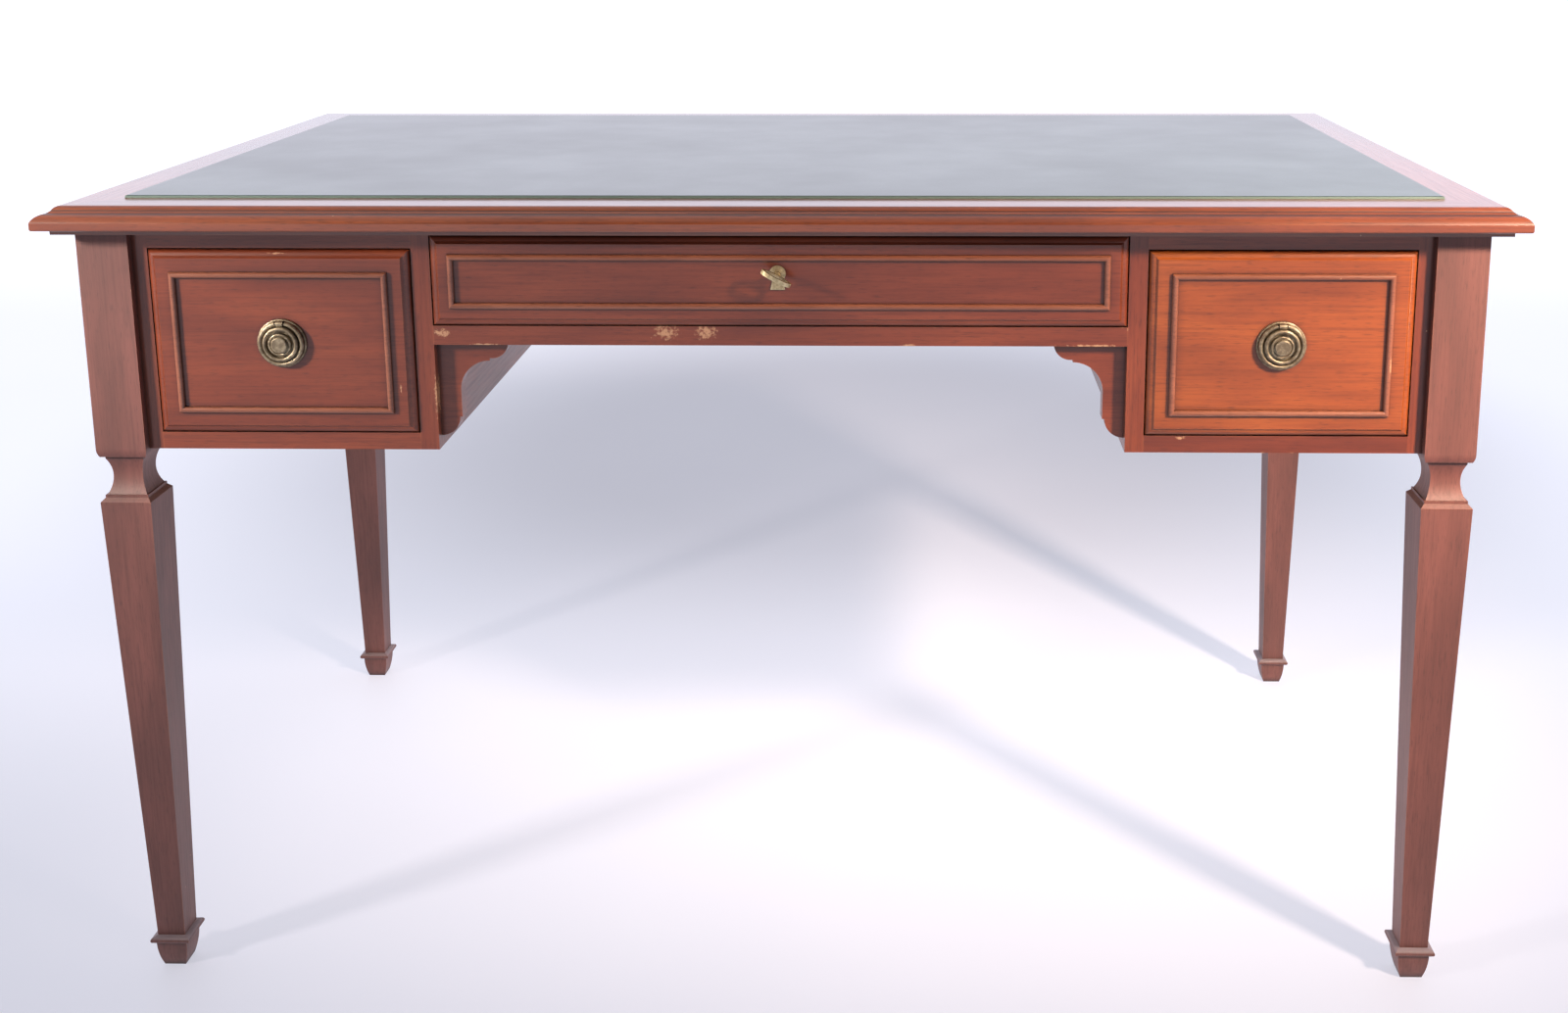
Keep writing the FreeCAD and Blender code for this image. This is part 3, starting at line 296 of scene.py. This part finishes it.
def bare_wood(name, light, dark, along):
    """Planed wood with no polish on it."""
    made, tree, surface = new_material(name)
    grain = add(tree, "ShaderNodeTexNoise", {"Vector": stretched(tree, along, *BARE_GRAIN),
                                             "Scale": 1.0, "Detail": 4.0, "Distortion": 0.4})
    flecks = add(tree, "ShaderNodeTexNoise", {"Vector": stretched(tree, along, *BARE_FLECK),
                                              "Scale": 1.0, "Detail": 1.0})
    body = add(tree, "ShaderNodeValToRGB", {"Fac": grain.outputs["Fac"]},
               ramp=[(BARE_STEPS[0], colour(dark)), (BARE_STEPS[1], colour(light))])
    fleck = add(tree, "ShaderNodeMapRange", {"Value": flecks.outputs["Fac"], "From Min": FLECK_RANGE[0],
                                             "From Max": FLECK_RANGE[1], "To Max": FLECK_MOST})
    mixed = add(tree, "ShaderNodeMix", {0: fleck.outputs[0], MIX_FIRST: body.outputs["Color"],
                                        MIX_SECOND: colour(dark)}, data_type="RGBA")
    relief = add(tree, "ShaderNodeBump", {"Strength": BARE_RELIEF, "Distance": BARE_DEPTH,
                                          "Height": grain.outputs["Fac"]})
    rough = add(tree, "ShaderNodeMapRange", {"Value": grain.outputs["Fac"],
                                             "To Min": BARE_ROUGHNESS[0], "To Max": BARE_ROUGHNESS[1]})
    tree.links.new(mixed.outputs[MIX_RESULT], surface.inputs["Base Color"])
    tree.links.new(rough.outputs[0], surface.inputs["Roughness"])
    tree.links.new(relief.outputs[0], surface.inputs["Normal"])
    return made


# ---------------------------------------------------------------- leather
# Bridle hide, dyed dark green, glazed and waxed. The eye sees a fine pebble grain, a slow cloudiness from
# years of polishing, a surface that isn't quite flat, and a grey sheen at a low angle.
LEATHER_GREEN = "#1c3a32"
LEATHER_DEEP = "#122821"
LEATHER_WORN = "#2d4a42"
# Pale grey green of the cut edge, which is also a painted highlight of the edge catching the light.
LEATHER_CUT_AND_HIGHLIGHT = "#75877f"
# Real pebbles are about 0.6 mm across; these are drawn 1.6 mm across so that the render shows them.
PEBBLE_SIZE = 1.6 * MM
CLOUD_SIZE = 140 * MM
RIPPLE_SIZE = 45 * MM
CLOUD_STEPS = (0.10, 0.50, 0.90)
# How the creases between the pebbles are darkened with painted shade.
CREASE_RANGE, CREASE_MOST = (0.35, 0.6), 0.5
# Which faces count as edge, for the pale cut and its painted highlight.
CUT_AND_HIGHLIGHT_RANGE = (0.9, 0.3)
GLAZE_RANGE, GLAZE_ROUGHNESS = (0.3, 0.7), (0.34, 0.28)
SWELL_RELIEF, SWELL_DEPTH = 0.2, 0.5 * MM
PEBBLE_RELIEF, PEBBLE_DEPTH = 0.12, 0.2 * MM
LEATHER_IOR, GLAZE_COAT, GLAZE_COAT_ROUGHNESS = 1.5, 0.5, 0.22


def green_hide():
    """Glazed dark green leather."""
    made, tree, surface = new_material("glazed_green_leather")
    place = add(tree, "ShaderNodeTexCoord").outputs["Object"]
    clouds = add(tree, "ShaderNodeTexNoise", {"Vector": place, "Scale": 1.0 / CLOUD_SIZE, "Detail": 4.0})
    pebbles = add(tree, "ShaderNodeTexVoronoi", {"Vector": place, "Scale": 1.0 / PEBBLE_SIZE},
                  feature="SMOOTH_F1")
    ripples = add(tree, "ShaderNodeTexNoise", {"Vector": place, "Scale": 1.0 / RIPPLE_SIZE, "Detail": 2.0})
    tone = add(tree, "ShaderNodeValToRGB", {"Fac": clouds.outputs["Fac"]},
               ramp=[(CLOUD_STEPS[0], colour(LEATHER_DEEP)), (CLOUD_STEPS[1], colour(LEATHER_GREEN)),
                     (CLOUD_STEPS[2], colour(LEATHER_WORN))])
    # Painted shade: the creases between the pebbles are darkened.
    crease_shade = add(tree, "ShaderNodeMapRange", {"Value": pebbles.outputs["Distance"],
                                               "From Min": CREASE_RANGE[0], "From Max": CREASE_RANGE[1],
                                               "To Max": CREASE_MOST})
    shade = add(tree, "ShaderNodeMix", {0: crease_shade.outputs[0], MIX_FIRST: tone.outputs["Color"],
                                        MIX_SECOND: colour(LEATHER_DEEP)}, data_type="RGBA")
    # The cut edge of the hide is paler than its face, and the paleness is also a painted highlight of the edge
    # catching the light.
    facing = add(tree, "ShaderNodeSeparateXYZ", {0: add(tree, "ShaderNodeNewGeometry").outputs["Normal"]})
    cut_and_highlight = add(tree, "ShaderNodeMapRange", {"Value": facing.outputs["Z"], "From Min": CUT_AND_HIGHLIGHT_RANGE[0],
                                           "From Max": CUT_AND_HIGHLIGHT_RANGE[1]})
    shade = add(tree, "ShaderNodeMix", {0: cut_and_highlight.outputs[0], MIX_FIRST: shade.outputs[MIX_RESULT],
                                        MIX_SECOND: colour(LEATHER_CUT_AND_HIGHLIGHT)}, data_type="RGBA")
    shine = add(tree, "ShaderNodeMapRange", {"Value": clouds.outputs["Fac"], "From Min": GLAZE_RANGE[0],
                                             "From Max": GLAZE_RANGE[1], "To Min": GLAZE_ROUGHNESS[0],
                                             "To Max": GLAZE_ROUGHNESS[1]})
    swell = add(tree, "ShaderNodeBump", {"Strength": SWELL_RELIEF, "Distance": SWELL_DEPTH,
                                         "Height": ripples.outputs["Fac"]})
    relief = add(tree, "ShaderNodeBump", {"Strength": PEBBLE_RELIEF, "Distance": PEBBLE_DEPTH,
                                          "Normal": swell.outputs[0],
                                          "Height": pebbles.outputs["Distance"]}, invert=True)
    tree.links.new(shade.outputs[MIX_RESULT], surface.inputs["Base Color"])
    tree.links.new(shine.outputs[0], surface.inputs["Roughness"])
    tree.links.new(relief.outputs[0], surface.inputs["Normal"])
    surface.inputs["IOR"].default_value = LEATHER_IOR
    surface.inputs["Coat Weight"].default_value = GLAZE_COAT
    surface.inputs["Coat Roughness"].default_value = GLAZE_COAT_ROUGHNESS
    return made


# ---------------------------------------------------------------- metals
# Cast and turned brass that has gone brown: a dull grey-brown skin, brighter where fingers rub it.
# Each brass is given as bright and dull.
PULL_BRASS, PULL_RUB = ("#c6b79a", "#80725f"), 0.0
KEY_BRASS, KEY_RUB = ("#e0d0a8", "#a08d6c"), 0.1
TARNISH_SIZE = 5 * MM
FINGER_RADIUS, FINGER_RANGE, FINGER_RUB = 0.8 * MM, (1.0, 0.9), 0.5
TARNISH_STEPS = (0.45, 0.75)
BRASS_RANGE, BRASS_ROUGHNESS = (0.3, 0.8), (0.6, 0.44)
TARNISH_RELIEF, TARNISH_DEPTH = 0.1, 0.1 * MM


def old_brass(name, bright, dull, rub):
    """Tarnished brass. `rub` is how much of it is rubbed bright."""
    made, tree, surface = new_material(name)
    place = add(tree, "ShaderNodeTexCoord").outputs["Object"]
    tarnish = add(tree, "ShaderNodeTexNoise", {"Vector": place, "Scale": 1.0 / TARNISH_SIZE, "Detail": 6.0,
                                               "Roughness": 0.65})
    level = add(tree, "ShaderNodeMath", {0: corners_of(tree, FINGER_RADIUS, *FINGER_RANGE),
                                         1: FINGER_RUB, 2: tarnish.outputs["Fac"]}, operation="MULTIPLY_ADD")
    skin = add(tree, "ShaderNodeValToRGB", {"Fac": level.outputs[0]},
               ramp=[(TARNISH_STEPS[0] - rub, colour(dull)), (TARNISH_STEPS[1] - rub, colour(bright))])
    shine = add(tree, "ShaderNodeMapRange", {"Value": level.outputs[0], "From Min": BRASS_RANGE[0],
                                             "From Max": BRASS_RANGE[1], "To Min": BRASS_ROUGHNESS[0],
                                             "To Max": BRASS_ROUGHNESS[1]})
    relief = add(tree, "ShaderNodeBump", {"Strength": TARNISH_RELIEF, "Distance": TARNISH_DEPTH,
                                          "Height": tarnish.outputs["Fac"]})
    tree.links.new(skin.outputs["Color"], surface.inputs["Base Color"])
    tree.links.new(shine.outputs[0], surface.inputs["Roughness"])
    tree.links.new(relief.outputs[0], surface.inputs["Normal"])
    surface.inputs["Metallic"].default_value = 1.0
    return made


# Bright drawn steel with a fine turning grain and a little grey bloom.
STEEL = ("#6f7072", "#a3a4a6")
STEEL_LINE = (0.6 * MM, 20 * MM)
STEEL_STEPS, STEEL_ROUGHNESS = (0.3, 0.7), (0.3, 0.5)


def drawn_steel():
    """Plain steel of the lock and the screws."""
    made, tree, surface = new_material("drawn_steel")
    lines = add(tree, "ShaderNodeTexNoise", {"Vector": stretched(tree, "z", *STEEL_LINE), "Scale": 1.0,
                                             "Detail": 3.0})
    skin = add(tree, "ShaderNodeValToRGB", {"Fac": lines.outputs["Fac"]},
               ramp=[(step, colour(code)) for step, code in zip(STEEL_STEPS, STEEL)])
    shine = add(tree, "ShaderNodeMapRange", {"Value": lines.outputs["Fac"],
                                             "To Min": STEEL_ROUGHNESS[0], "To Max": STEEL_ROUGHNESS[1]})
    tree.links.new(skin.outputs["Color"], surface.inputs["Base Color"])
    tree.links.new(shine.outputs[0], surface.inputs["Roughness"])
    surface.inputs["Metallic"].default_value = 1.0
    return made


# ---------------------------------------------------------------- dressing the nodes
# Marks of use on the fronts, as x, z and half sizes: chips on the rail under the centre drawer, a worn
# edge beside the knee-hole, scratches on the left drawer, a chip on the right drawer's bead and rail.
RAIL_MARKS = [(-0.309, 0.6535, 10 * MM, 4.5 * MM), (-0.103, 0.6545, 12 * MM, 8 * MM),
              (-0.066, 0.6545, 11 * MM, 8 * MM), (0.285, 0.6432, 30 * MM, 1.2 * MM),
              (-0.270, 0.6430, 14 * MM, 1.0 * MM), (0.120, 0.6433, 9 * MM, 1.0 * MM)]
LEFT_STILE_MARKS = [(-0.3185, 0.594, 1.6 * MM, 24 * MM)]
LEFT_DRAWER_MARKS = [(-0.457, 0.7290, 9 * MM, 0.9 * MM), (-0.349, 0.601, 1.0 * MM, 6 * MM)]
RIGHT_BEAD_MARKS = [(0.5550, 0.627, 1.8 * MM, 10 * MM)]
RIGHT_RAIL_MARKS = [(0.369, 0.5557, 5 * MM, 1.8 * MM)]
# How much polish is left on the top and on the legs, and how much dust and painted pale sheen lies on what
# faces up on the feet.
TOP_POLISH, LEG_POLISH, FOOT_DUST_AND_PAINTED_SHEEN = 1.0, 0.7, 0.7


def dress(names, material):
    """Gives the nodes a material."""
    for name in names:
        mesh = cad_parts[name].data
        mesh.materials.clear()
        mesh.materials.append(material)


def dress_desk():
    """Every node gets the material that its real piece is made of."""
    dress(["top_front_rail", "top_back_rail", "top_panel"],
          mahogany("top_x", "x", TOP_TONE, quirks=QUIRKS, polish=TOP_POLISH))
    dress(["top_left_rail", "top_right_rail"],
          mahogany("top_y", "y", TOP_TONE, quirks=QUIRKS, polish=TOP_POLISH))
    dress(["back_apron", "left_top_rail", "right_top_rail", "left_bottom_rail", "left_bracket",
           "right_bracket"], mahogany("frame_x", "x", FRAME_TONE))
    dress(["left_side_apron", "right_side_apron", "left_partition", "right_partition"],
          mahogany("frame_y", "y", FRAME_TONE))
    dress(["left_outer_stile", "right_outer_stile", "right_inner_stile"],
          mahogany("frame_z", "z", FRAME_TONE))
    dress(["left_inner_stile"], mahogany("left_inner_stile", "z", FRAME_TONE, LEFT_STILE_MARKS))
    dress(["centre_rail"], mahogany("centre_rail", "x", FRAME_TONE, RAIL_MARKS))
    dress(["right_bottom_rail"], mahogany("right_bottom_rail", "x", FRAME_TONE, RIGHT_RAIL_MARKS))
    dress(["leg_" + end + "_" + side for end in ("front", "back") for side in ("left", "right")],
          mahogany("legs", "z", LEG_TONE, polish=LEG_POLISH, sheen=DULL))
    dress(["foot_" + end + "_" + side for end in ("front", "back") for side in ("left", "right")],
          mahogany("feet", "z", LEG_TONE, polish=LEG_POLISH, dust_and_painted_sheen=FOOT_DUST_AND_PAINTED_SHEEN, sheen=DULL))
    dress(["left_drawer_front"], mahogany("left_drawer", "x", FRAME_TONE, LEFT_DRAWER_MARKS))
    dress(["centre_drawer_front"], mahogany("centre_drawer", "x", FRAME_TONE))
    dress(["right_drawer_front"], mahogany("right_drawer", "x", RIGHT_DRAWER_TONE))
    dress(["left_drawer_bead", "centre_drawer_bead"], mahogany("beads", "x", BEAD_TONE))
    dress(["right_drawer_bead"], mahogany("right_bead", "x", BEAD_TONE, RIGHT_BEAD_MARKS))
    dress(["leather_panel"], green_hide())
    inside_y = bare_wood("planed_oak_y", *OAK, "y")
    inside_x = bare_wood("planed_oak_x", *OAK, "x")
    for drawer in ("left", "right", "centre"):
        dress([drawer + "_drawer_sides", drawer + "_drawer_bottom"], inside_y)
        dress([drawer + "_drawer_back"], inside_x)
    dress(["drawer_runners", "drawer_kickers"], bare_wood("planed_beech_y", *BEECH, "y"))
    dress(["corner_blocks"], bare_wood("planed_beech_x", *BEECH, "x"))
    pulls = old_brass("tarnished_brass", *PULL_BRASS, PULL_RUB)
    dress([side + "_pull_" + piece for side in ("left", "right") for piece in ("rosette", "ring")], pulls)
    dress(["centre_escutcheon", "centre_key"], old_brass("rubbed_brass", *KEY_BRASS, KEY_RUB))
    dress(["left_pull_bolt", "right_pull_bolt", "top_screws", "centre_lock_case", "centre_lock_bolt"],
          drawn_steel())


# ---------------------------------------------------------------- studio
FLOOR_HALF = 40.0
FLOOR_TONES, FLOOR_STEPS = ("#9f9ea8", "#a4a3ac"), (0.3, 0.7)
FLOOR_CLOUD = 500 * MM
FLOOR_ROUGHNESS = 0.6
GLOW_SHADE = "#eef1ff"
# The floor glows as if lit from below: evenly, with a little more behind the desk outside a patch, less inside
# that patch, which is a painted shadow of the desk, and more again far behind it and well ahead of it, where
# the top and the fronts mirror it.
EVEN_GLOW = 0.50
SHADOW_PATCH_CENTRE, SHADOW_PATCH_SIZE = (0.0, 1.35, 0.0), (1.15, 1.0, 1.0)
SHADOW_PATCH_EDGE, PAINTED_SHADOW_GLOW, NEAR_GLOW = (0.45, 1.45), -0.14, 0.36
FAR_START, FAR_END, FAR_GLOW = 2.2, 4.0, 0.3
FRONT_START, FRONT_END = -0.9, 1.2
AHEAD_START, AHEAD_END, AHEAD_GLOW = -1.6, -2.6, 0.3


def pale_floor():
    """Studio floor in rolled pale grey paint: matt, with a very faint cloudiness, lit from below, and with a
    painted shadow of the desk behind it.
    """
    made, tree, surface = new_material("matt_pale_paint")
    place = add(tree, "ShaderNodeTexCoord").outputs["Object"]
    clouds = add(tree, "ShaderNodeTexNoise", {"Vector": place, "Scale": 1.0 / FLOOR_CLOUD, "Detail": 3.0})
    tone = add(tree, "ShaderNodeValToRGB", {"Fac": clouds.outputs["Fac"]},
               ramp=[(step, colour(code)) for step, code in zip(FLOOR_STEPS, FLOOR_TONES)])
    parts = add(tree, "ShaderNodeSeparateXYZ", {0: place})
    far = add(tree, "ShaderNodeMapRange", {"Value": parts.outputs["Y"], "From Min": FAR_START,
                                           "From Max": FAR_END, "To Max": FAR_GLOW},
              interpolation_type="SMOOTHSTEP")
    # Painted shadow: inside a patch behind the desk the glow is lowered, as if the desk's shadow lay there.
    away = add(tree, "ShaderNodeVectorMath", {0: place, 1: SHADOW_PATCH_CENTRE}, operation="SUBTRACT")
    away = add(tree, "ShaderNodeVectorMath", {0: away.outputs[0], 1: SHADOW_PATCH_SIZE}, operation="DIVIDE")
    away = add(tree, "ShaderNodeVectorMath", {0: away.outputs[0]}, operation="LENGTH")
    near = add(tree, "ShaderNodeMapRange", {"Value": away.outputs["Value"], "From Min": SHADOW_PATCH_EDGE[0],
                                            "From Max": SHADOW_PATCH_EDGE[1], "To Min": PAINTED_SHADOW_GLOW,
                                            "To Max": NEAR_GLOW},
               interpolation_type="SMOOTHSTEP")
    front = add(tree, "ShaderNodeMapRange", {"Value": parts.outputs["Y"], "From Min": FRONT_START,
                                             "From Max": FRONT_END}, interpolation_type="SMOOTHSTEP")
    ahead = add(tree, "ShaderNodeMapRange", {"Value": parts.outputs["Y"], "From Min": AHEAD_START,
                                             "From Max": AHEAD_END, "To Min": EVEN_GLOW,
                                             "To Max": EVEN_GLOW + AHEAD_GLOW},
                interpolation_type="SMOOTHSTEP")
    glow = add(tree, "ShaderNodeMath", {0: near.outputs[0], 1: front.outputs[0], 2: far.outputs[0]},
               operation="MULTIPLY_ADD")
    glow = add(tree, "ShaderNodeMath", {0: glow.outputs[0], 1: ahead.outputs[0]}, operation="ADD")
    tree.links.new(tone.outputs["Color"], surface.inputs["Base Color"])
    tree.links.new(glow.outputs[0], surface.inputs["Emission Strength"])
    surface.inputs["Emission Color"].default_value = colour(GLOW_SHADE)
    surface.inputs["Roughness"].default_value = FLOOR_ROUGHNESS
    mesh = bpy.data.meshes.new("studio_floor")
    shape = bmesh.new()
    bmesh.ops.create_grid(shape, x_segments=8, y_segments=8, size=FLOOR_HALF)
    shape.to_mesh(mesh)
    shape.free()
    floor = bpy.data.objects.new("studio_floor", mesh)
    floor.location.z = CAD_BOX[0].z
    bpy.context.scene.collection.objects.link(floor)
    mesh.materials.append(made)


def soft_light(name, place, target, width, height, watts, shade="#ffffff", spread=180.0):
    """A soft box at a place, facing a target, with its beam `spread` degrees wide."""
    lamp = bpy.data.lights.new(name, "AREA")
    lamp.shape = "RECTANGLE"
    lamp.size, lamp.size_y = width, height
    lamp.energy = watts
    lamp.color = colour(shade)[:3]
    lamp.spread = math.radians(spread)
    made = bpy.data.objects.new(name, lamp)
    made.location = place
    made.rotation_mode = "QUATERNION"
    made.rotation_quaternion = (Vector(target) - Vector(place)).to_track_quat("-Z", "Y")
    bpy.context.scene.collection.objects.link(made)


# The white room is bright low down behind the desk, where the top mirrors it, and dim in front, where the
# drawers face it, and overhead. It changes from one to the other around the desk's own plane. The boxes at the
# sides are small, so that the pulls have shadows, and the one overhead is wide.
ROOM_SHADE = "#f0f0ff"
ROOM_BACK, ROOM_DIM = 1.35, 0.06
ROOM_TURN = (-0.25, 0.35)
ROOM_RISE, ROOM_HIGH = (0.35, 0.75), 0.2
RIGHT_BOX, RIGHT_AIM, RIGHT_WATTS = (1.78, -1.62, 1.75), (0.74, -0.35, 0.71), 7.6
LEFT_BOX, LEFT_AIM, LEFT_WATTS = (-2.10, -1.40, 1.45), (-0.60, -0.34, 0.64), 3.4
SKY_BOX, SKY_AIM, SKY_WATTS = (0.0, -0.3, 3.6), (0.0, -0.2, 0.0), 24.0
SIDE_SIZE, SKY_SIZE = (0.25, 0.25), (5.0, 4.0)
RIGHT_SHADE, RIGHT_SPREAD = "#ffe6cf", 38.0
LEFT_SHADE, LEFT_SPREAD = "#fff4ea", 34.0


def light_studio():
    """A bright white room behind, a warm box at the right, a weaker one at the left and a wide one above."""
    soft_light("right_box", RIGHT_BOX, RIGHT_AIM, *SIDE_SIZE, RIGHT_WATTS, RIGHT_SHADE, RIGHT_SPREAD)
    soft_light("left_box", LEFT_BOX, LEFT_AIM, *SIDE_SIZE, LEFT_WATTS, LEFT_SHADE, LEFT_SPREAD)
    soft_light("sky_box", SKY_BOX, SKY_AIM, *SKY_SIZE, SKY_WATTS)
    world = bpy.data.worlds.new("white_room")
    world.use_nodes = True
    tree = world.node_tree
    way = add(tree, "ShaderNodeTexCoord")
    parts = add(tree, "ShaderNodeSeparateXYZ", {0: way.outputs["Generated"]})
    level = add(tree, "ShaderNodeMapRange",
                {"Value": parts.outputs["Y"], "From Min": ROOM_TURN[0], "From Max": ROOM_TURN[1],
                 "To Max": ROOM_BACK}, interpolation_type="SMOOTHSTEP")
    rise = add(tree, "ShaderNodeMapRange",
               {"Value": parts.outputs["Z"], "From Min": ROOM_RISE[0], "From Max": ROOM_RISE[1],
                "To Min": 1.0, "To Max": ROOM_HIGH}, interpolation_type="SMOOTHSTEP")
    level = add(tree, "ShaderNodeMath", {0: level.outputs[0], 1: rise.outputs[0], 2: ROOM_DIM},
                operation="MULTIPLY_ADD")
    back = tree.nodes["Background"]
    back.inputs["Color"].default_value = colour(ROOM_SHADE)
    tree.links.new(level.outputs[0], back.inputs["Strength"])
    bpy.context.scene.world = world
    bpy.context.scene.view_settings.view_transform = "Standard"


place_camera()
dress_desk()
pale_floor()
light_studio()
